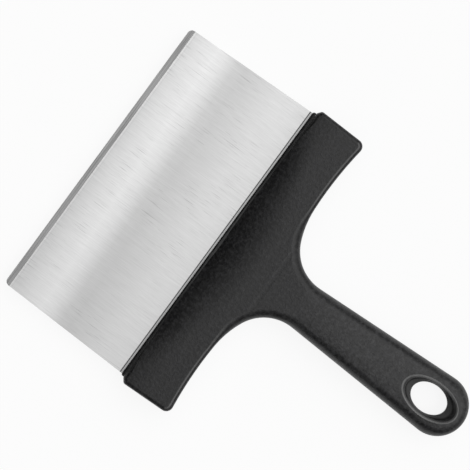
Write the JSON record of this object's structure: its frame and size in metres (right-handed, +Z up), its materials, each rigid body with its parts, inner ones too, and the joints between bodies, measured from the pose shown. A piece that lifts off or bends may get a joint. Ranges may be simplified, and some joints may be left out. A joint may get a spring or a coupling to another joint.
{
  "type": "grill scraper",
  "caption": "Wide flat steel blade with a ground edge, its root moulded into a black T-shaped nylon handle with a grip and an oval hanging hole.",
  "frame": {"origin": "centre of the footprint of the scraper as it lies flat, on the surface it lies on", "axes": "+X from the cutting edge towards the hanging hole, +Y along the cutting edge, +Z up, square to the blade"},
  "size_m": [0.2138, 0.158, 0.016],
  "materials": {
    "blade_steel": "stainless sheet brushed at right angles to the cutting edge, with a ground bevel",
    "handle_nylon": "black glass-filled nylon, moulded with a fine satin texture"
  },
  "bodies": {
    "root": {"blade": "blade_steel", "handle": "handle_nylon"}
  },
  "joints": []
}
